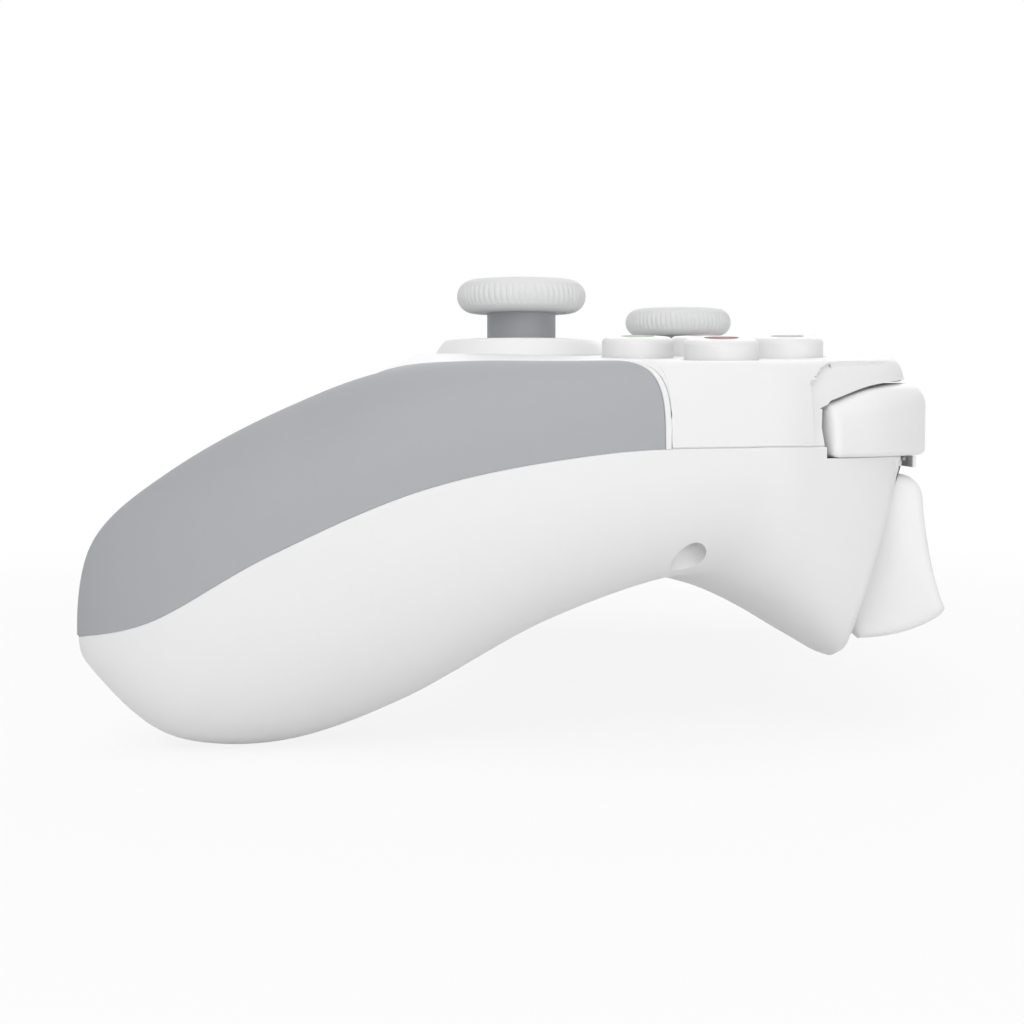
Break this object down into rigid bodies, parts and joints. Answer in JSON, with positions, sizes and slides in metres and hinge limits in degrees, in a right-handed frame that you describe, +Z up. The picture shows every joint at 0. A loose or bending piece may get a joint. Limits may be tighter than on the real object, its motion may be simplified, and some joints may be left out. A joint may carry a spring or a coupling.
{
  "type": "gamepad controller",
  "caption": "Two-handled gamepad with tilting thumb sticks, a rocking direction pad, round face buttons, shoulder bumpers and pull triggers over a hollow plastic case.",
  "frame": {"origin": "middle of the width and depth, on the surface that the handles stand on", "axes": "+X to the player's right, +Y forward towards the bumpers and triggers, +Z up through the sticks"},
  "size_m": [0.155, 0.107, 0.0593],
  "materials": {
    "shell_white": "fine satin grain",
    "grip_grey": "matt soft-touch",
    "key_white": "smooth",
    "cap_grey": "matt, knurled rim",
    "neck_grey": "satin",
    "dark_plastic": "satin",
    "steel": "plain",
    "silicone": "soft, translucent grey",
    "board_green": "solder mask",
    "cell_foil": "foil pouch",
    "light_guide": "clear light guide"
  },
  "bodies": {
    "case": {"top_shell": "shell_white", "bottom_shell": "shell_white", "right_grip": "grip_grey", "left_grip": "grip_grey", "front_bridge": "shell_white", "bumper_pins": "steel", "right_trigger_pin": "steel", "left_trigger_pin": "steel", "right_trigger_spring": "steel", "left_trigger_spring": "steel", "right_bracket": "dark_plastic", "left_bracket": "dark_plastic", "face_membrane": "silicone", "dpad_post": "dark_plastic", "dpad_membrane": "silicone", "menu_membrane": "silicone", "status_light": "light_guide", "right_stick_collar": "key_white", "left_stick_collar": "key_white", "right_stick_box": "dark_plastic", "left_stick_box": "dark_plastic", "right_stick_sensors": "board_green", "left_stick_sensors": "board_green", "main_board": "board_green", "battery": "cell_foil", "usb_socket": "steel", "bumper_switches": "dark_plastic", "right_rumble_motor": "steel", "left_rumble_motor": "steel", "case_screws": "steel", "board_screws": "steel"},
    "south_button": {"button_south": "key_white"},
    "east_button": {"button_east": "key_white"},
    "west_button": {"button_west": "key_white"},
    "north_button": {"button_north": "key_white"},
    "home_key": {"home_button": "key_white"},
    "select_key": {"select_button": "key_white"},
    "start_key": {"start_button": "key_white"},
    "capture_key": {"capture_button": "key_white"},
    "pad_ball": {"dpad_pivot": "dark_plastic"},
    "pad": {"dpad": "key_white"},
    "right_gimbal": {"right_stick_yoke": "steel"},
    "right_lever": {"right_stick_rocker": "dark_plastic"},
    "right_stick": {"right_stick_post": "neck_grey", "right_stick_cap": "cap_grey"},
    "left_gimbal": {"left_stick_yoke": "steel"},
    "left_lever": {"left_stick_rocker": "dark_plastic"},
    "left_stick": {"left_stick_post": "neck_grey", "left_stick_cap": "cap_grey"},
    "right_shoulder": {"right_bumper": "key_white"},
    "left_shoulder": {"left_bumper": "key_white"},
    "right_pull": {"right_trigger": "key_white"},
    "left_pull": {"left_trigger": "key_white"},
    "right_rumble": {"right_rumble_weight": "steel"},
    "left_rumble": {"left_rumble_weight": "steel"}
  },
  "joints": [
    {"name": "south_press", "type": "slide", "parent": "case", "child": "south_button", "axis": [0, 0, 1], "range_m": [-0.0012, 0], "stiffness_N_per_m": 500, "deforming": ["face_membrane"]},
    {"name": "east_press", "type": "slide", "parent": "case", "child": "east_button", "axis": [0, 0, 1], "range_m": [-0.0012, 0], "stiffness_N_per_m": 500, "deforming": ["face_membrane"]},
    {"name": "west_press", "type": "slide", "parent": "case", "child": "west_button", "axis": [0, 0, 1], "range_m": [-0.0012, 0], "stiffness_N_per_m": 500, "deforming": ["face_membrane"]},
    {"name": "north_press", "type": "slide", "parent": "case", "child": "north_button", "axis": [0, 0, 1], "range_m": [-0.0012, 0], "stiffness_N_per_m": 500, "deforming": ["face_membrane"]},
    {"name": "home_press", "type": "slide", "parent": "case", "child": "home_key", "axis": [0, 0, 1], "range_m": [-0.0006, 0], "stiffness_N_per_m": 700, "deforming": ["menu_membrane"]},
    {"name": "select_press", "type": "slide", "parent": "case", "child": "select_key", "axis": [0, 0, 1], "range_m": [-0.0006, 0], "stiffness_N_per_m": 700, "deforming": ["menu_membrane"]},
    {"name": "start_press", "type": "slide", "parent": "case", "child": "start_key", "axis": [0, 0, 1], "range_m": [-0.0006, 0], "stiffness_N_per_m": 700, "deforming": ["menu_membrane"]},
    {"name": "capture_press", "type": "slide", "parent": "case", "child": "capture_key", "axis": [0, 0, 1], "range_m": [-0.0006, 0], "stiffness_N_per_m": 700, "deforming": ["menu_membrane"]},
    {"name": "pad_tilt_forward", "type": "hinge", "parent": "case", "child": "pad_ball", "pos_m": [-0.0195, 0.0005, 0.0428], "axis": [1, 0, 0], "range_deg": [-4, 4], "stiffness_Nm_per_rad": 0.05, "deforming": ["dpad_membrane"]},
    {"name": "pad_tilt_sideways", "type": "hinge", "parent": "pad_ball", "child": "pad", "pos_m": [-0.0195, 0.0005, 0.0428], "axis": [0, 1, 0], "range_deg": [-4, 4], "stiffness_Nm_per_rad": 0.05, "deforming": ["dpad_membrane"]},
    {"name": "right_stick_forward", "type": "hinge", "parent": "case", "child": "right_gimbal", "pos_m": [0.0195, 0.0005, 0.0416], "axis": [1, 0, 0], "range_deg": [-13.5, 13.5], "stiffness_Nm_per_rad": 0.02},
    {"name": "right_stick_sideways", "type": "hinge", "parent": "right_gimbal", "child": "right_lever", "pos_m": [0.0195, 0.0005, 0.0416], "axis": [0, 1, 0], "range_deg": [-13.5, 13.5], "stiffness_Nm_per_rad": 0.02},
    {"name": "right_stick_click", "type": "slide", "parent": "right_lever", "child": "right_stick", "axis": [0, 0, 1], "range_m": [-0.0005, 0], "stiffness_N_per_m": 900},
    {"name": "left_stick_forward", "type": "hinge", "parent": "case", "child": "left_gimbal", "pos_m": [-0.038, 0.0286, 0.0406], "axis": [1, 0, 0], "range_deg": [-13.5, 13.5], "stiffness_Nm_per_rad": 0.02},
    {"name": "left_stick_sideways", "type": "hinge", "parent": "left_gimbal", "child": "left_lever", "pos_m": [-0.038, 0.0286, 0.0406], "axis": [0, 1, 0], "range_deg": [-13.5, 13.5], "stiffness_Nm_per_rad": 0.02},
    {"name": "left_stick_click", "type": "slide", "parent": "left_lever", "child": "left_stick", "axis": [0, 0, 1], "range_m": [-0.0005, 0], "stiffness_N_per_m": 900},
    {"name": "right_bumper_press", "type": "hinge", "parent": "case", "child": "right_shoulder", "pos_m": [0.0174, 0.0472, 0.036], "axis": [0, 0, 1], "range_deg": [-1.4, 0], "stiffness_Nm_per_rad": 1.2},
    {"name": "left_bumper_press", "type": "hinge", "parent": "case", "child": "left_shoulder", "pos_m": [-0.0174, 0.0472, 0.036], "axis": [0, 0, 1], "range_deg": [0, 1.4], "stiffness_Nm_per_rad": 1.2},
    {"name": "right_trigger_pull", "type": "hinge", "parent": "case", "child": "right_pull", "pos_m": [0.0447, 0.0458, 0.0304], "axis": [1, 0, 0], "range_deg": [-18, 0], "stiffness_Nm_per_rad": 0.05},
    {"name": "left_trigger_pull", "type": "hinge", "parent": "case", "child": "left_pull", "pos_m": [-0.0447, 0.0458, 0.0304], "axis": [1, 0, 0], "range_deg": [-18, 0], "stiffness_Nm_per_rad": 0.05},
    {"name": "right_rumble_spin", "type": "hinge", "parent": "case", "child": "right_rumble", "pos_m": [0.06, -0.02, 0.02], "axis": [0, 1, 0], "continuous": true},
    {"name": "left_rumble_spin", "type": "hinge", "parent": "case", "child": "left_rumble", "pos_m": [-0.06, -0.02, 0.02], "axis": [0, 1, 0], "continuous": true}
  ]
}
